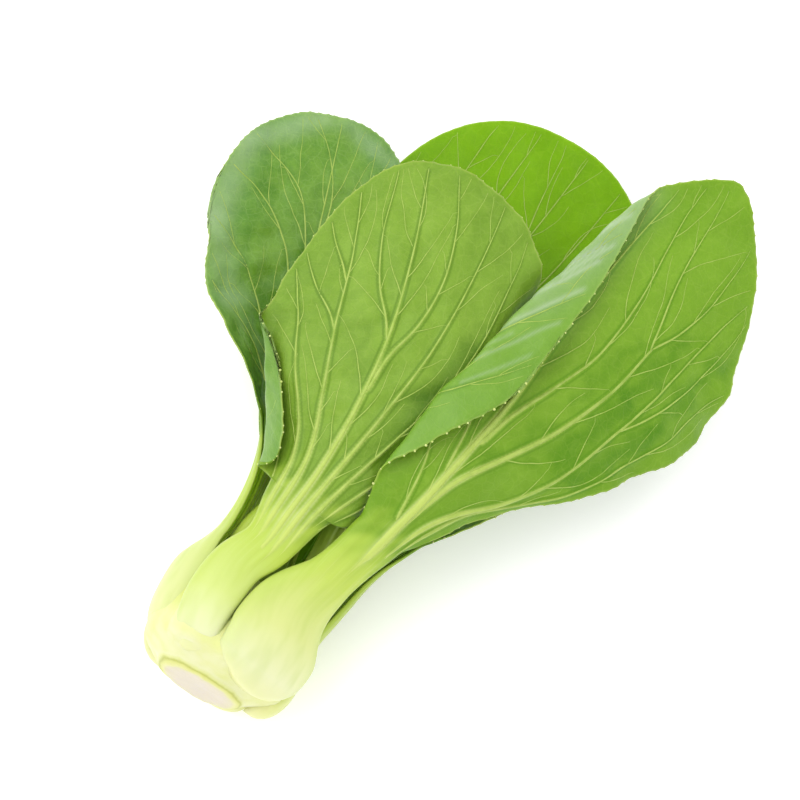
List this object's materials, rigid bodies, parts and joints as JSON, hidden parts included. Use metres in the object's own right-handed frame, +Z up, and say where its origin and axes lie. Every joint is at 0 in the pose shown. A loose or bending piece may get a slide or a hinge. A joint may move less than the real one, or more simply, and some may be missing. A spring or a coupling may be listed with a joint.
{
  "type": "head of bok choy",
  "caption": "Loose head of green-stalked bok choy, cut at the root and lying on its side, with ribbed stalks and broad green leaves.",
  "frame": {"origin": "middle of the head's box, on the surface it lies on", "axes": "+Z up from that surface, +Y along the head's axis from the cut stem to the leaf tips, +X to the right of a viewer who looks along +Y"},
  "size_m": [0.156, 0.1966, 0.0606],
  "materials": {
    "cut_stem": "matt, moist cut",
    "pale_stalk": "satin, waxy",
    "green_blade": "satin, waxy"
  },
  "bodies": {
    "root": {"stem": "cut_stem", "top_leaf_stalk": "pale_stalk", "top_leaf_blade": "green_blade", "right_leaf_stalk": "pale_stalk", "right_leaf_blade": "green_blade", "left_leaf_stalk": "pale_stalk", "left_leaf_blade": "green_blade", "far_leaf_stalk": "pale_stalk", "far_leaf_blade": "green_blade", "under_right_leaf_stalk": "pale_stalk", "under_right_leaf_blade": "green_blade", "under_left_leaf_stalk": "pale_stalk", "under_left_leaf_blade": "green_blade", "heart_leaf_1_stalk": "pale_stalk", "heart_leaf_1_blade": "green_blade", "heart_leaf_2_stalk": "pale_stalk", "heart_leaf_2_blade": "green_blade", "heart_leaf_3_stalk": "pale_stalk", "heart_leaf_3_blade": "green_blade"}
  },
  "joints": []
}
